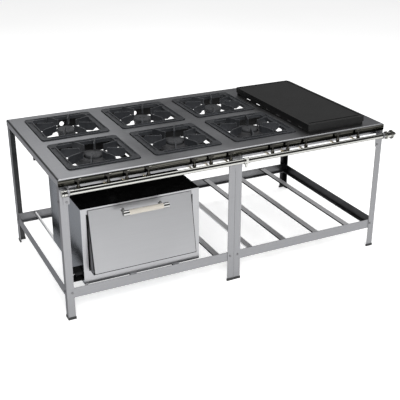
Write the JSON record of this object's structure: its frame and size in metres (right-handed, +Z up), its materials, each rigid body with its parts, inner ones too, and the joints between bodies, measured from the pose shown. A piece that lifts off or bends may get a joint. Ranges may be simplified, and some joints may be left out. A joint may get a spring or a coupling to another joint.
{
  "type": "commercial gas range",
  "caption": "Free-standing stainless gas range with open burners, cast grates, a griddle, a front gas pipe with taps, a slatted shelf and a drop-door oven.",
  "frame": {"origin": "on the floor, under the middle of the outline seen from above", "axes": "+Z up; the front with the gas pipe and the oven door faces -Y; +X runs to the right seen from the front"},
  "size_m": [2.022, 1.116, 0.852],
  "materials": {
    "top_steel": "satin",
    "frame_steel": "satin",
    "brace_steel": "heat-blackened",
    "boot_plastic": "matt",
    "screw_steel": "bright",
    "pipe_chrome": "polished",
    "valve_metal": "polished",
    "injector_brass": "machined",
    "tap_chrome": "polished",
    "burner_iron": "as cast",
    "cap_iron": "as cast",
    "grate_iron": "graphite enamel",
    "griddle_iron": "matt black",
    "black_paint": "satin black",
    "pipe_aluminium": "drawn",
    "oven_steel": "bright rolled",
    "oven_black": "gloss black",
    "liner_enamel": "speckled enamel",
    "door_steel": "satin",
    "rack_chrome": "bright",
    "handle_chrome": "polished",
    "grip_plastic": "gloss cream"
  },
  "bodies": {
    "range_body": {"worktop": "top_steel", "leg_front_left": "frame_steel", "leg_front_right": "frame_steel", "leg_rear_left": "frame_steel", "leg_rear_right": "frame_steel", "mid_legs": "frame_steel", "feet": "boot_plastic", "long_rails": "frame_steel", "cross_rails": "frame_steel", "slats_left": "frame_steel", "slats_right": "frame_steel", "mid_plates": "frame_steel", "frame_screws": "screw_steel", "manifold_tubes": "pipe_chrome", "manifold_union": "pipe_chrome", "manifold_cap": "pipe_chrome", "gas_inlet": "pipe_chrome", "manifold_brackets": "frame_steel", "burner_bar": "frame_steel", "burner_rails": "brace_steel", "hob_braces": "brace_steel", "valve_bodies": "valve_metal", "injectors": "injector_brass", "rear_burners": "burner_iron", "ring_burners": "burner_iron", "center_burners": "burner_iron", "burner_caps": "cap_iron", "griddle_burners": "burner_iron", "oven_pipe": "pipe_aluminium", "oven_gas_box": "black_paint", "oven_shell": "oven_steel", "oven_top": "oven_black", "oven_frame": "door_steel", "oven_liner": "liner_enamel", "oven_burner": "burner_iron"},
    "door": {"door_skin": "door_steel", "door_liner": "door_steel", "door_posts": "handle_chrome", "door_grip": "grip_plastic"},
    "rack": {"oven_rack": "rack_chrome"},
    "griddle": {"griddle_plate": "griddle_iron", "griddle_base": "black_paint"},
    "grate_1_body": {"grate_1": "grate_iron"},
    "grate_2_body": {"grate_2": "grate_iron"},
    "grate_3_body": {"grate_3": "grate_iron"},
    "grate_4_body": {"grate_4": "grate_iron"},
    "grate_5_body": {"grate_5": "grate_iron"},
    "grate_6_body": {"grate_6": "grate_iron"},
    "tap_1_body": {"tap_1": "tap_chrome"},
    "tap_2_body": {"tap_2": "tap_chrome"},
    "tap_3_body": {"tap_3": "tap_chrome"},
    "tap_4_body": {"tap_4": "tap_chrome"},
    "tap_5_body": {"tap_5": "tap_chrome"},
    "tap_6_body": {"tap_6": "tap_chrome"},
    "tap_7_body": {"tap_7": "tap_chrome"},
    "tap_8_body": {"tap_8": "tap_chrome"},
    "tap_9_body": {"tap_9": "tap_chrome"},
    "tap_10_body": {"tap_10": "tap_chrome"},
    "tap_11_body": {"tap_11": "tap_chrome"},
    "tap_12_body": {"tap_12": "tap_chrome"}
  },
  "joints": [
    {"name": "door_hinge", "type": "hinge", "parent": "range_body", "child": "door", "pos_m": [-0.5735, -0.517, 0.27179], "axis": [1, 0, 0], "range_deg": [0, 100]},
    {"name": "rack_slide", "type": "slide", "parent": "range_body", "child": "rack", "axis": [0, -1, 0], "range_m": [0, 0.06]},
    {"name": "grate_1_lift", "type": "slide", "parent": "range_body", "child": "grate_1_body", "axis": [0, 0, 1], "range_m": [0, 0.15]},
    {"name": "grate_2_lift", "type": "slide", "parent": "range_body", "child": "grate_2_body", "axis": [0, 0, 1], "range_m": [0, 0.15]},
    {"name": "grate_3_lift", "type": "slide", "parent": "range_body", "child": "grate_3_body", "axis": [0, 0, 1], "range_m": [0, 0.15]},
    {"name": "grate_4_lift", "type": "slide", "parent": "range_body", "child": "grate_4_body", "axis": [0, 0, 1], "range_m": [0, 0.15]},
    {"name": "grate_5_lift", "type": "slide", "parent": "range_body", "child": "grate_5_body", "axis": [0, 0, 1], "range_m": [0, 0.15]},
    {"name": "grate_6_lift", "type": "slide", "parent": "range_body", "child": "grate_6_body", "axis": [0, 0, 1], "range_m": [0, 0.15]},
    {"name": "griddle_lift", "type": "slide", "parent": "range_body", "child": "griddle", "axis": [0, 0, 1], "range_m": [0, 0.15]},
    {"name": "tap_1_turn", "type": "hinge", "parent": "range_body", "child": "tap_1_body", "pos_m": [-0.915, -0.509, 0.79], "axis": [0, 0, 1], "range_deg": [0, 90]},
    {"name": "tap_2_turn", "type": "hinge", "parent": "range_body", "child": "tap_2_body", "pos_m": [-0.758, -0.509, 0.79], "axis": [0, 0, 1], "range_deg": [0, 90]},
    {"name": "tap_3_turn", "type": "hinge", "parent": "range_body", "child": "tap_3_body", "pos_m": [-0.66, -0.509, 0.79], "axis": [0, 0, 1], "range_deg": [0, 90]},
    {"name": "tap_4_turn", "type": "hinge", "parent": "range_body", "child": "tap_4_body", "pos_m": [-0.542, -0.509, 0.79], "axis": [0, 0, 1], "range_deg": [0, 90]},
    {"name": "tap_5_turn", "type": "hinge", "parent": "range_body", "child": "tap_5_body", "pos_m": [-0.2835, -0.509, 0.79], "axis": [0, 0, 1], "range_deg": [0, 90]},
    {"name": "tap_6_turn", "type": "hinge", "parent": "range_body", "child": "tap_6_body", "pos_m": [-0.1855, -0.509, 0.79], "axis": [0, 0, 1], "range_deg": [0, 90]},
    {"name": "tap_7_turn", "type": "hinge", "parent": "range_body", "child": "tap_7_body", "pos_m": [-0.0675, -0.509, 0.79], "axis": [0, 0, 1], "range_deg": [0, 90]},
    {"name": "tap_8_turn", "type": "hinge", "parent": "range_body", "child": "tap_8_body", "pos_m": [0.191, -0.509, 0.79], "axis": [0, 0, 1], "range_deg": [0, 90]},
    {"name": "tap_9_turn", "type": "hinge", "parent": "range_body", "child": "tap_9_body", "pos_m": [0.289, -0.509, 0.79], "axis": [0, 0, 1], "range_deg": [0, 90]},
    {"name": "tap_10_turn", "type": "hinge", "parent": "range_body", "child": "tap_10_body", "pos_m": [0.407, -0.509, 0.79], "axis": [0, 0, 1], "range_deg": [0, 90]},
    {"name": "tap_11_turn", "type": "hinge", "parent": "range_body", "child": "tap_11_body", "pos_m": [0.621, -0.509, 0.79], "axis": [0, 0, 1], "range_deg": [0, 90]},
    {"name": "tap_12_turn", "type": "hinge", "parent": "range_body", "child": "tap_12_body", "pos_m": [0.763, -0.509, 0.79], "axis": [0, 0, 1], "range_deg": [0, 90]}
  ]
}
